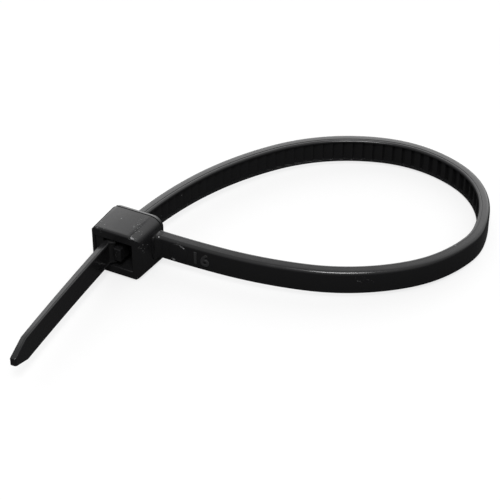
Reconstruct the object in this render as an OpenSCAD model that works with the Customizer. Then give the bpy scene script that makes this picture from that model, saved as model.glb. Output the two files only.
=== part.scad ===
/* [Strap] */
// Width of the strap
strap_w = 2.5; // [2.2:0.05:4]
// Thickness of the strap over its rails
strap_t = 1.05; // [0.95:0.01:1.4]
// Rounding of the two edges on the smooth face
smooth_r = 0.36; // [0.1:0.02:0.4]
// Rounding of the two edges on the toothed face
rail_r = 0.18; // [0.05:0.01:0.2]
// Distance of the mould's parting line from the toothed face
parting_d = 0.3; // [0.22:0.01:0.45]
// Step in the strap's sides at the parting line
parting_step = 0.03; // [0.01:0.01:0.05]

/* [Teeth] */
// Distance from tooth to tooth
tooth_pitch = 0.96; // [0.8:0.02:1.2]
// Depth of the gap behind a tooth, below its crest
tooth_d = 0.24; // [0.15:0.01:0.4]
// Length of the flat crest of a tooth
crest_l = 0.16; // [0.08:0.02:0.3]
// Drop of the crests below the rails
crest_drop = 0.12; // [0.05:0.01:0.2]
// Width of the rail on each side of the teeth
rail_w = 0.26; // [0.24:0.01:0.4]
// Length of strap next to the head with no teeth on it
bare_l = 9; // [2:0.5:20]

/* [Head] */
// Width of the head, across the strap
head_w = 4.8; // [4.4:0.05:6]
// Length of the head, from the strap's root to its far side
head_l = 5.16; // [4.9:0.02:6]
// Height of the head, along the slot
head_h = 3.82; // [3.4:0.02:5]
// Height of the entry face above the strap's toothed face
head_proud = 0.34; // [0.1:0.02:0.6]
// Lean of the side that the strap grows from
head_lean = 9; // [0:0.5:15]
// Lean of the far side, which draws the head in towards its entry
far_lean = 4; // [0:0.5:6]
// Rounding of the long edges beside the strap's root
near_r = 0.8; // [0.2:0.05:0.95]
// Rounding of the long edges on the far side
far_r = 0.7; // [0.2:0.05:0.9]
// Rounding of the edges round the exit face
exit_r = 0.28; // [0.1:0.02:0.4]
// Rounding of the corner between the exit face and the side that the strap grows from
corner_r = 0.4; // [0.1:0.02:0.5]
// Rounding of the corner between the entry face and the far side
back_r = 0.8; // [0.1:0.05:0.9]
// Rounding of the edges round the entry face
entry_r = 0.1; // [0.04:0.02:0.14]
// Depth of the rim round the entry face
rim_d = 0.2; // [0.16:0.02:0.4]
// Width of the groove under the rim
rim_groove_w = 0.12; // [0.06:0.02:0.3]
// Depth of the groove under the rim
rim_groove_d = 0.07; // [0.02:0.01:0.08]
// Fillet where the strap grows out of the head
root_r = 0.45; // [0.1:0.05:0.8]

/* [Slot and pawl] */
// Distance from the strap's root to the middle of the slot
slot_reach = 3.34; // [3.1:0.02:3.6]
// Clearance round the strap in the slot
slot_gap = 0.12; // [0.06:0.01:0.2]
// Wall left beside the exit recess, on the far side
exit_wall = 0.42; // [0.25:0.01:0.6]
// Width of the exit recess, across the strap
exit_w = 2.9; // [2.8:0.02:4]
// Depth of the exit recess
exit_d = 0.12; // [0.06:0.02:0.8]
// Wall between the pawl's pocket and the strap's root, at the exit
pocket_wall = 0.66; // [0.4:0.02:0.9]
// Floor left above the pawl's pocket, where the pawl is hinged
hinge_d = 0.75; // [0.5:0.05:1.2]
// Width of the pawl, between the rails
pawl_w = 1.3; // [1:0.05:1.8]
// Thickness of the pawl at its tip
pawl_t = 0.66; // [0.4:0.02:0.7]
// Clearance between the pawl's teeth and the strap's
pawl_gap = 0.07; // [0.04:0.01:0.1]

/* [Tail] */
// Length of the tail, from the head's exit face to its tip
tail_l = 15.9; // [10:0.1:60]
// Thickness of the tail behind the last tooth
tail_t = 0.64; // [0.6:0.02:0.9]
// Thickness of the tail at its tip
tip_t = 0.54; // [0.4:0.02:0.7]
// Width of the tail where its tip starts
tip_start_w = 2.44; // [1.4:0.02:2.46]
// Width of the tail at its tip
tip_w = 0.8; // [0.4:0.05:1]
// Length of the pointed tip
tip_l = 1.9; // [1:0.1:5]
// Length of the thick part of the strap past the exit face
thick_out = 0.1; // [0.05:0.05:0.2]
// Length of the ramp from the last tooth down to the tail
ramp_l = 0.35; // [0.2:0.05:0.35]
// Length of the shallow channel on the tail, from the exit face
run_out_l = 1.65; // [1:0.05:4]
// Depth of the shallow channel on the tail
run_out_d = 0.1; // [0.05:0.01:0.2]
// How far the middle of the tail is bowed away from the strap's root
tail_bow = 0.09; // [0.01:0.01:0.5]

/* [Loop] */
// Straight length of strap at its root
root_run = 0.85; // [0.5:0.05:3]
// Radius of the last bend, into the slot
entry_bend = 18.2; // [10:0.2:19]

/* [Hidden] */
$fn = 48;

// Bends of the strap from its root round to the slot, each a radius and a turn to the left in degrees
BENDS = [
    [89.8, 3.3], [39.8, 11], [19.3, 27.4], [11.5, 16.8], [12.2, 14.5], [5.6, 21.7], [11.4, 18.7],
    [7.98, 40.3], [11.53, 40.21], [17.1, 35.71], [28.32, 19.69], [33.92, 8.83]
];
// Heading of the strap in the slot, and how finely the loop is sampled to find its reach
SLOT_HEADING = 270;
SAMPLE = 0.5;
// Each second run of the strap is a hair fuller and laps its neighbours, so the runs join as one body
LAP = 0.06;
HAIR = 0.002;
// A cut runs past the face that it opens by this much
OVER = 1;
// The tail starts its bow with a short bend the other way, and its slices are this thin and this much inside
KINK_R = 12;
SLICE = 0.02;
SKIN = 0.01;
// Height of the tooth that the pawl holds above the exit face
HELD = 0.45;

// A run of the strap is a radius, a turn and a length; a straight run has no radius
function straight(l) = [0, 0, l];
function bend(r, turn) = [r, turn, r * turn * PI / 180];

// Where a run ends after a length s of it, seen from its start at heading h
function move(run, h, s) = run[0] == 0 ? s * [cos(h), sin(h)] :
    let (a = s / run[0] * 180 / PI) run[0] * [sin(h + a) - sin(h), cos(h) - cos(h + a)];
function turned(run, s) = run[0] == 0 ? 0 : s / run[0] * 180 / PI;

// Place and heading at length s along a list of runs that starts at p
function along(runs, s, i = 0, p = [0, 0], h = 0) =
    (s <= runs[i][2] || i == len(runs) - 1)
        ? concat(p + move(runs[i], h, s), h + turned(runs[i], s))
        : along(runs, s - runs[i][2], i + 1, p + move(runs[i], h, runs[i][2]), h + runs[i][1]);
function total(runs, n, i = 0) = i >= n ? 0 : runs[i][2] + total(runs, n, i + 1);

// The free loop, then a straight and a last bend that bring the strap to the slot
loop = concat([straight(root_run)], [for (b = BENDS) bend(b[0], b[1])]);
loop_end = along(loop, total(loop, len(loop)));
last_turn = SLOT_HEADING - loop_end[2];
close_l = (-slot_reach - loop_end[0] + entry_bend * (1 + sin(loop_end[2]))) / cos(loop_end[2]);
closed = concat(loop, [straight(close_l), bend(entry_bend, last_turn)]);
closed_l = total(closed, len(closed));
slot_top = along(closed, closed_l)[1];

// Levels along the slot: entry face, exit face and end of the strap's thick part
entry_y = strap_t / 2 + head_proud;
exit_y = entry_y - head_h;
thick_end_y = exit_y - thick_out;
strap_runs = concat(closed, [straight(slot_top - thick_end_y)]);
strap_l = total(strap_runs, len(strap_runs));
function slot_s(y) = closed_l + slot_top - y;

// The tail bows a little after the strap leaves the head
tip_s = slot_s(exit_y) + tail_l;
tail_turn = atan(4 * tail_bow / tail_l);
kink = bend(-KINK_R, -tail_turn);
bow_r = (tip_s - strap_l - kink[2]) / (2 * tail_turn * PI / 180);
tie_runs = concat(strap_runs, [kink, bend(bow_r, 2 * tail_turn)]);

// A point of the strap or tail: length s along it and d towards the toothed side
function on_strap(s, d) =
    let (q = along(tie_runs, s)) [q[0] - d * sin(q[2]), q[1] + d * cos(q[2])];

// The teeth are counted back from the one that the pawl holds
crest = strap_t / 2 - crest_drop;
gap_floor = crest - tooth_d;
held_s = slot_s(exit_y + HELD);
spare = floor((strap_l - ramp_l - held_s) / tooth_pitch);
tooth_n = floor((held_s - bare_l) / tooth_pitch);
channel_w = strap_w - 2 * rail_w;

// Section of the strap: x outwards from the loop, y across the strap
module rounded_half(t, w, r) {
    translate([0, -w / 2]) square([t - r, w]);
    translate([0, r - w / 2]) square([t, w - 2 * r]);
    for (side = [-1, 1]) translate([t - r, side * (w / 2 - r)]) circle(r = r);
}

module strap_section() {
    difference() {
        translate([parting_d - strap_t / 2, 0]) {
            rounded_half(strap_t - parting_d, strap_w, smooth_r);
            mirror([1, 0]) rounded_half(parting_d, strap_w - 2 * parting_step, rail_r);
        }
        translate([-strap_t, -channel_w / 2]) square([strap_t / 2 + crest_drop, channel_w]);
    }
}

// One run of the strap, from its start at the origin along +X
module strap_run(run, lap, grow) {
    if (run[0] == 0) {
        translate([-lap, 0, 0]) rotate([90, 0, 90])
            linear_extrude(run[2] + 2 * lap) mirror([1, 0]) scale(grow) strap_section();
    } else {
        lap_turn = turned(run, lap);
        translate([0, run[0], 0])
            rotate_extrude(angle = run[1] + 2 * lap_turn, start = -90 - lap_turn)
                translate([run[0], 0]) scale(grow) strap_section();
    }
}

module strap_body() {
    for (i = [0 : len(strap_runs) - 1]) {
        q = along(strap_runs, total(strap_runs, i));
        odd = i % 2;
        translate([q[0], q[1], 0]) rotate([0, 0, q[2]])
            strap_run(strap_runs[i], odd * LAP, 1 + odd * HAIR);
    }
}

// The gap in front of a tooth: a wall that the pawl holds, and a ramp up to the tooth before
module tooth_gap(s) {
    ramp = tooth_pitch - crest_l;
    above = strap_t / 2 + crest_drop;
    translate([0, 0, -channel_w / 2]) linear_extrude(channel_w)
        polygon([on_strap(s, gap_floor), on_strap(s, above), on_strap(s - ramp, above), on_strap(s - ramp, crest)]);
}

// Past the last tooth the toothed face drops to the tail's thickness
tail_level = tail_t - strap_t / 2;
module end_ramp() {
    past = strap_l + 2 * LAP;
    translate([0, 0, -strap_w]) linear_extrude(2 * strap_w)
        polygon([on_strap(past, tail_level), on_strap(past, strap_t), on_strap(strap_l - ramp_l, strap_t),
            on_strap(strap_l - ramp_l, strap_t / 2), on_strap(strap_l, tail_level)]);
}

module strap() {
    difference() {
        strap_body();
        for (k = [-spare : tooth_n]) tooth_gap(held_s - k * tooth_pitch);
        end_ramp();
    }
}

// The channel between the rails runs on for a little on the tail, and ends in a short ramp
module run_out() {
    from = strap_l - ramp_l;
    to = slot_s(exit_y) + run_out_l;
    level = tail_level - run_out_d;
    translate([0, 0, -channel_w / 2]) linear_extrude(channel_w)
        polygon([on_strap(from, crest), on_strap(strap_l, level), on_strap(to - 2 * run_out_d, level),
            on_strap(to, tail_level), on_strap(to, strap_t), on_strap(from, strap_t)]);
}

// A thin slice of the tail at length s, flush with the strap's smooth face
module tail_slice(s, w, t) {
    r = min(rail_r, t / 3);
    q = along(tie_runs, s);
    translate([q[0], q[1], 0]) rotate([90, 0, 90 + q[2]]) linear_extrude(SLICE)
        translate([SKIN - strap_t / 2, 0]) {
            translate([0, r - w / 2]) square([t, w - 2 * r]);
            translate([r, -w / 2]) square([t - 2 * r, w]);
            for (x = [r, t - r], side = [-1, 1]) translate([x, side * (w / 2 - r)]) circle(r = r, $fn = 24);
        }
}

// The tail thins and narrows evenly to the start of its tip, and then comes to its blunt point
tail_s = strap_l - ramp_l / 2;
taper_l = tip_s - tip_l - tail_s;
stations = concat(
    [for (u = [0 : 0.25 : 1]) [tail_s + u * taper_l, strap_w - 2 * SKIN + u * (tip_start_w - strap_w),
        tail_t - 2 * SKIN + u * (tip_t - tail_t)]],
    [[tip_s - SLICE, tip_w, tip_t - 4 * SKIN]]);

module tail() {
    for (i = [1 : len(stations) - 1]) hull() for (p = [stations[i - 1], stations[i]]) tail_slice(p[0], p[1], p[2]);
}

// Outline of the head seen along the slot's direction, rounded on one side only
module loaf_section(l, w, r) {
    translate([0, -w / 2]) square([l - r, w]);
    translate([0, r - w / 2]) square([l, w - 2 * r]);
    for (side = [-1, 1]) translate([l - r, side * (w / 2 - r)]) circle(r = r);
}

// An outline with rounded corners, from its corners in turn and the radius at each
function unit(v) = v / norm(v);
module rounded_outline(p, r) {
    n = len(p);
    corners = [for (i = [0 : n - 1]) let (a = unit(p[(i + n - 1) % n] - p[i]), b = unit(p[(i + 1) % n] - p[i]),
        half = acos(a * b) / 2) [p[i] + a * r[i] / tan(half), p[i] + b * r[i] / tan(half),
            p[i] + unit(a + b) * r[i] / sin(half)]];
    polygon([for (c = corners) each [c[0], c[1]]]);
    for (i = [0 : n - 1]) translate(corners[i][2]) circle(r = r[i]);
}

// Where the head's two sides stand at level y
function near_x(y) = y * tan(head_lean);
function far_x(y) = (y - exit_y) * tan(far_lean) - head_l;

// The head as a whole block, drawn in by an inset on its four sides
module head_block(inset) {
    w = head_w - 2 * inset;
    intersection() {
        translate([-head_l, exit_y, 0]) rotate([0, 0, -far_lean]) translate([2 * head_l, 2 * head_h, 0])
            rotate([90, 0, 0]) linear_extrude(4 * head_h) mirror([1, 0]) loaf_section(2 * head_l - inset, w, far_r);
        rotate([0, 0, -head_lean]) translate([-2 * head_l, 2 * head_h, 0]) rotate([90, 0, 0])
            linear_extrude(4 * head_h) loaf_section(2 * head_l - inset, w, near_r);
        translate([0, 0, -head_w]) linear_extrude(2 * head_w)
            rounded_outline([[far_x(exit_y), exit_y], [near_x(exit_y), exit_y], [near_x(entry_y), entry_y],
                [far_x(entry_y), entry_y]], [exit_r, corner_r, entry_r, back_r]);
        translate([-2 * head_l, 0, 0]) rotate([90, 0, 90]) linear_extrude(4 * head_l)
            rounded_outline([[exit_y, -w / 2], [entry_y, -w / 2], [entry_y, w / 2], [exit_y, w / 2]],
                [exit_r, entry_r, entry_r, exit_r]);
    }
}

module rim_groove() {
    difference() {
        translate([-2 * head_l, entry_y - rim_d - rim_groove_w, -head_w])
            cube([4 * head_l, rim_groove_w, 2 * head_w]);
        head_block(rim_groove_d);
    }
}

slot_l = strap_t + 2 * slot_gap;
slot_w = strap_w + 2 * slot_gap;
pocket_x = near_x(exit_y) - pocket_wall;
pocket_top = entry_y - hinge_d;

// The strap is still bending where it enters, so the slot flares towards its entry on the pawl's side
entry_turn = asin((entry_y - slot_top) / entry_bend);
entry_s = closed_l - entry_bend * entry_turn * PI / 180;
flare = on_strap(entry_s, strap_t / 2)[0] + slot_gap;
flare_slope = (flare + slot_reach - slot_l / 2) / head_h;

module slot_cut() {
    far_wall = -slot_reach - slot_l / 2;
    near_wall = -slot_reach + slot_l / 2;
    translate([0, 0, -slot_w / 2]) linear_extrude(slot_w)
        polygon([[far_wall, exit_y - OVER], [near_wall, exit_y - OVER], [near_wall, exit_y],
            [flare + flare_slope * OVER, entry_y + OVER], [far_wall, entry_y + OVER]]);
}

module exit_cut() {
    x0 = -head_l + exit_wall;
    translate([x0, exit_y - OVER, -exit_w / 2]) cube([pocket_x - x0, exit_d + OVER, exit_w]);
}

module pocket_cut() {
    translate([-slot_reach, exit_y - OVER, -exit_w / 2])
        cube([pocket_x + slot_reach, pocket_top - exit_y + OVER, exit_w]);
}

// The pawl hangs from the entry side and holds two gaps of the strap, with its end in the exit face
module pawl() {
    clear = crest + pawl_gap;
    point = gap_floor + pawl_gap;
    ramp = tooth_pitch - crest_l;
    end_s = slot_s(exit_y);
    hinge_s = slot_s(pocket_top + hinge_d / 2);
    toothed = [for (k = [0 : 1]) let (s = held_s - k * tooth_pitch)
        each [on_strap(s - pawl_gap, clear), on_strap(s - pawl_gap, point), on_strap(s - ramp, clear)]];
    outline = concat([on_strap(end_s, clear)], toothed,
        [on_strap(hinge_s, strap_t / 2 + slot_gap / 2), on_strap(hinge_s, strap_t / 2 + slot_gap + pawl_t),
            on_strap(end_s, clear + pawl_t)]);
    translate([0, 0, -pawl_w / 2]) linear_extrude(pawl_w) polygon(outline);
}

// The fillet between the strap's smooth face and the side of the head
module root_fillet() {
    x0 = -strap_t / 2 * tan(head_lean);
    c = [x0 + root_r * (1 - sin(head_lean)) / cos(head_lean), -strap_t / 2 - root_r];
    n = [cos(head_lean), -sin(head_lean)];
    back = root_r / 2;
    translate([0, 0, smooth_r - strap_w / 2]) linear_extrude(strap_w - 2 * smooth_r) difference() {
        polygon([c, c - root_r * n, c - (root_r + back) * n, [x0 - back, -strap_t / 2 + back],
            [c[0], -strap_t / 2 + back]]);
        translate(c) circle(r = root_r);
    }
}

// The strap is carried into the head, so that the two are one moulding
module root_stub() {
    rotate([90, 0, -90]) linear_extrude(far_r) scale(1 - HAIR) strap_section();
}

module head() {
    difference() {
        head_block(0);
        rim_groove();
        slot_cut();
        exit_cut();
        pocket_cut();
    }
    pawl();
    root_fillet();
    root_stub();
}

// The tie as moulded, before it is laid down: the root at the origin, the loop to +X and +Y
module tie() {
    difference() {
        union() {
            strap();
            tail();
        }
        run_out();
    }
    head();
}

// The tie lies on a lower edge of its wide head and on the far side of the loop
heel_y = entry_y - entry_r;
heel = [near_x(heel_y) - near_r / cos(head_lean), heel_y];
loop_points = [for (s = [0 : SAMPLE : closed_l]) let (q = along(closed, s)) [q[0], q[1]]];
reaches = [for (p = loop_points) norm(p - heel)];
far_point = [for (i = [0 : len(reaches) - 1]) if (reaches[i] == max(reaches)) loop_points[i]][0];
far_dir = (far_point - heel) / max(reaches);
side_dir = [-far_dir[1], far_dir[0]];
foot_reach = max(reaches) + strap_t / 2 - smooth_r;
rest_tilt = atan((head_w - strap_w) / 2 / foot_reach);

// A point of the moulded tie after it is tipped onto the surface
function laid(p) =
    let (a = p[0] * far_dir[0] + p[1] * far_dir[1], b = p[0] * side_dir[0] + p[1] * side_dir[1],
        a2 = a * cos(rest_tilt) + p[2] * sin(rest_tilt), z2 = p[2] * cos(rest_tilt) - a * sin(rest_tilt))
    [a2 * far_dir[0] + b * side_dir[0], a2 * far_dir[1] + b * side_dir[1], z2];

head_low = laid([heel[0], heel[1], near_r - head_w / 2])[2] - near_r;
foot = heel + foot_reach * far_dir;
loop_low = laid([foot[0], foot[1], smooth_r - strap_w / 2])[2] - smooth_r;
outline_points = concat(
    [for (s = [0 : SAMPLE : closed_l], z = [-1, 1]) let (q = on_strap(s, -strap_t / 2))
        laid([q[0], q[1], z * (strap_w / 2 - smooth_r)])],
    [for (z = [-1, 1]) laid([far_x(exit_y + exit_r), exit_y + exit_r, z * (head_w / 2 - far_r)])],
    [for (z = [-1, 1]) laid(concat(on_strap(tip_s, 0), z * tip_w / 2))]);
xs = [for (p = outline_points) p[0]];
ys = [for (p = outline_points) p[1]];

module cable_tie() {
    color([0.06, 0.06, 0.065])
        translate([-(min(xs) + max(xs)) / 2, -(min(ys) + max(ys)) / 2, -min(head_low, loop_low)])
            rotate(a = rest_tilt, v = [side_dir[0], side_dir[1], 0])
                tie();
}

cable_tie();
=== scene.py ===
"""Dresses a small black nylon cable tie that is looped back through its own head.

The tie is modelled flat and in millimetres, as it leaves its mould: X runs along the strap and away from the head,
Y towards the slot's entry and Z across the strap. The strap is then bent along its loop, and the whole tie is laid
on the floor, where it rests on a lower edge of its head and on the far side of the loop.
"""

from __future__ import annotations

import logging
import math
from collections.abc import Callable
from dataclasses import dataclass, field
from enum import Enum

import bmesh
import bpy
from mathutils import Matrix, Vector

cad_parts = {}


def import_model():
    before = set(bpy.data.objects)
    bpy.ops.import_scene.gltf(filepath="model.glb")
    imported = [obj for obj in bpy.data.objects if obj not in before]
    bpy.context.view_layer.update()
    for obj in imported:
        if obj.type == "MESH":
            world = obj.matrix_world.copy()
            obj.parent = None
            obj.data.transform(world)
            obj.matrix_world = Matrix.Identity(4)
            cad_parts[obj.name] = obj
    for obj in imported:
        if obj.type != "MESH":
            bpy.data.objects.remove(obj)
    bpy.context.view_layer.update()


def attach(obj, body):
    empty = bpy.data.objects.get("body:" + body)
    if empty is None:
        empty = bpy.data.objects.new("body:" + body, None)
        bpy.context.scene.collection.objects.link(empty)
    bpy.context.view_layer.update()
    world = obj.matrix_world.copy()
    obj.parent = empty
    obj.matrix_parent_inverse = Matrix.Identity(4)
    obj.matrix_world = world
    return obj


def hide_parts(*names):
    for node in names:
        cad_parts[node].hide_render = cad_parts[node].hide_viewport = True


LOG = logging.getLogger("cable_tie")
MM = 0.001
NODE = "cable_tie"
BODY = "root"
NEAR = 0.001  # a vertex this near to a place, in millimetres, is at the place
NARROW = 0.02  # the width of a narrow slope between two levels, in millimetres
ALONG = 0.9  # the least share of an axis in a direction that runs along it
SMOOTH_BELOW = 32  # edges that turn less than this many degrees are shaded smooth
FONT_SIZE = 1.38  # the font's size for digits that are one unit high
Triple = tuple[float, float, float]
Test = Callable[[Vector, Vector], bool]


class Axis(Enum):
    """A direction that a cut or a measure is made along."""

    X = Vector((1, 0, 0))
    Y = Vector((0, 1, 0))
    Z = Vector((0, 0, 1))


class Part(Enum):
    """What kind of element a pick takes."""

    VERT = "VERT"
    EDGE = "EDGE"
    FACE = "FACE"


class Carving(Enum):
    """What a tool's shape does to a piece."""

    CUT = "DIFFERENCE"
    ADD = "UNION"
    KEEP_SHARED = "INTERSECT"


class Sum(Enum):
    """What is worked out of two values in a material."""

    ADD = "ADD"
    MULTIPLY = "MULTIPLY"
    MOST = "MAXIMUM"


class Bench:
    """A piece in hand, and the steps of edit mode that shape it, in millimetres."""

    def __init__(self, name: str, low: Triple, high: Triple) -> None:
        """Adds a block between two corners and opens it in edit mode.

        Args:
            name: The piece's name.
            low: Its lowest corner.
            high: Its highest corner.
        """
        if bpy.context.object and bpy.context.object.mode != "OBJECT":
            bpy.ops.object.mode_set(mode="OBJECT")
        bpy.ops.object.select_all(action="DESELECT")
        low_v, high_v = Vector(low), Vector(high)
        bpy.ops.mesh.primitive_cube_add(size=1, location=(low_v + high_v) / 2, scale=high_v - low_v)
        self.piece = Shop.settle()
        self.piece.name = name
        bpy.ops.object.mode_set(mode="EDIT")
        bpy.ops.mesh.select_all(action="DESELECT")

    @classmethod
    def reopen(cls, piece: bpy.types.Object) -> Bench:
        """Puts a finished piece back on a bench, in edit mode.

        Args:
            piece: The piece.

        Returns:
            The bench with the piece on it.
        """
        bench = cls.__new__(cls)
        bench.piece = piece
        Shop.take(piece)
        bpy.ops.object.mode_set(mode="EDIT")
        return bench

    def close(self) -> bpy.types.Object:
        """Leaves edit mode and returns the piece."""
        bpy.ops.object.mode_set(mode="OBJECT")
        return self.piece

    def pick(self, part: Part, test: Test) -> int:
        """Selects the elements that pass a test, and nothing else.

        Args:
            part: Whether vertices, edges or faces are picked.
            test: Takes the middle of an element and its direction: the direction of an edge, or the normal of
                a vertex or face.

        Returns:
            How many elements were picked.
        """
        bpy.ops.mesh.select_mode(type=part.value)
        bpy.ops.mesh.select_all(action="DESELECT")
        mesh = bmesh.from_edit_mesh(self.piece.data)
        if part is Part.EDGE:
            ends = [(edge, edge.verts[0].co, edge.verts[1].co) for edge in mesh.edges]
            rows = [(edge, (start + end) / 2, (end - start).normalized()) for edge, start, end in ends]
        elif part is Part.FACE:
            rows = [(face, face.calc_center_median(), face.normal) for face in mesh.faces]
        else:
            rows = [(vert, vert.co, vert.normal) for vert in mesh.verts]
        found = 0
        for element, middle, way in rows:
            element.select_set(test(middle, way))
            found += element.select
        mesh.select_flush_mode()
        bmesh.update_edit_mesh(self.piece.data)
        return found

    def cut(self, axis: Axis, *places: float) -> None:
        """Cuts the whole piece across an axis.

        Args:
            axis: The axis.
            places: Where it is cut along the axis.
        """
        for place in places:
            bpy.ops.mesh.select_all(action="SELECT")
            bpy.ops.mesh.bisect(plane_co=axis.value * place, plane_no=axis.value, threshold=NEAR / 100)

    def round_edges(self, radius: float, segments: int, test: Test) -> None:
        """Rounds the edges that pass a test.

        Args:
            radius: The radius of the rounding.
            segments: How many faces the rounding has.
            test: As for pick.
        """
        if self.pick(Part.EDGE, test):
            bpy.ops.mesh.bevel(offset=radius, segments=segments, profile=0.5, affect="EDGES", clamp_overlap=False)

    def move(self, offset: Triple, test: Test) -> None:
        """Moves the vertices that pass a test by an offset."""
        if self.pick(Part.VERT, test):
            bpy.ops.transform.translate(value=offset)

    def scale(self, factors: Triple, centre: Vector, test: Test) -> None:
        """Scales the vertices that pass a test about a centre."""
        if self.pick(Part.VERT, test):
            bpy.ops.transform.resize(value=factors, center_override=centre)

    def open_ends(self) -> None:
        """Takes away the two faces across X, where the piece joins its neighbours."""
        self.pick(Part.FACE, lambda _, normal: abs(normal.x) > ALONG)
        bpy.ops.mesh.delete(type="FACE")


class Shop:
    """Steps in object mode that join, repeat, cut and finish pieces."""

    @staticmethod
    def take(piece: bpy.types.Object) -> None:
        """Makes a piece the only selected one.

        Args:
            piece: The piece.
        """
        bpy.ops.object.select_all(action="DESELECT")
        piece.select_set(True)
        bpy.context.view_layer.objects.active = piece

    @staticmethod
    def settle() -> bpy.types.Object:
        """Moves the place and turn of the piece in hand into its mesh, and returns the piece."""
        bpy.ops.object.transform_apply(location=True, rotation=True, scale=True)
        return bpy.context.object

    @staticmethod
    def repeat(piece: bpy.types.Object, count: int, pitch: float) -> None:
        """Repeats a piece along X and welds the copies together.

        Args:
            piece: The piece, one pitch long.
            count: How many there are in all.
            pitch: The distance from one to the next.
        """
        Shop.take(piece)
        bpy.ops.object.modifier_add(type="ARRAY")
        row = piece.modifiers[-1]
        row.count = count
        row.use_relative_offset = False
        row.use_constant_offset = True
        row.constant_offset_displace = (pitch, 0, 0)
        row.use_merge_vertices = True
        row.merge_threshold = NEAR
        bpy.ops.object.modifier_apply(modifier=row.name)

    @staticmethod
    def carve(piece: bpy.types.Object, tool: bpy.types.Object, how: Carving = Carving.CUT) -> None:
        """Cuts a tool's shape out of a piece, adds it or keeps what they share, and removes the tool.

        Args:
            piece: The piece that is changed.
            tool: The tool.
            how: What the tool does.
        """
        Shop.take(piece)
        bpy.ops.object.modifier_add(type="BOOLEAN")
        cutter = piece.modifiers[-1]
        cutter.operation = how.value
        cutter.solver = "EXACT"
        cutter.object = tool
        bpy.ops.object.modifier_apply(modifier=cutter.name)
        bpy.data.objects.remove(tool, do_unlink=True)

    @staticmethod
    def weld(pieces: list[bpy.types.Object], name: str) -> bpy.types.Object:
        """Joins pieces into one and merges their shared vertices.

        Args:
            pieces: The pieces, the first of which is kept.
            name: The name of the result.

        Returns:
            The joined piece.
        """
        bpy.ops.object.select_all(action="DESELECT")
        for piece in pieces:
            piece.select_set(True)
        bpy.context.view_layer.objects.active = pieces[0]
        bpy.ops.object.join()
        whole = bpy.context.object
        whole.name = name
        bench = Bench.reopen(whole)
        bpy.ops.mesh.select_all(action="SELECT")
        bpy.ops.mesh.remove_doubles(threshold=2 * NEAR)
        return bench.close()

    @staticmethod
    def cap(piece: bpy.types.Object) -> None:
        """Closes a piece's open ends and turns all its faces outwards.

        Args:
            piece: The piece.
        """
        bench = Bench.reopen(piece)
        bpy.ops.mesh.select_mode(type="EDGE")
        bpy.ops.mesh.select_all(action="SELECT")
        bpy.ops.mesh.fill_holes(sides=0)
        bpy.ops.mesh.select_all(action="SELECT")
        bpy.ops.mesh.normals_make_consistent(inside=False)
        bench.close()

    @staticmethod
    def smooth(piece: bpy.types.Object) -> None:
        """Shades a piece smooth across its gentle edges."""
        Shop.take(piece)
        bpy.ops.object.shade_smooth_by_angle(angle=math.radians(SMOOTH_BELOW))


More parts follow.
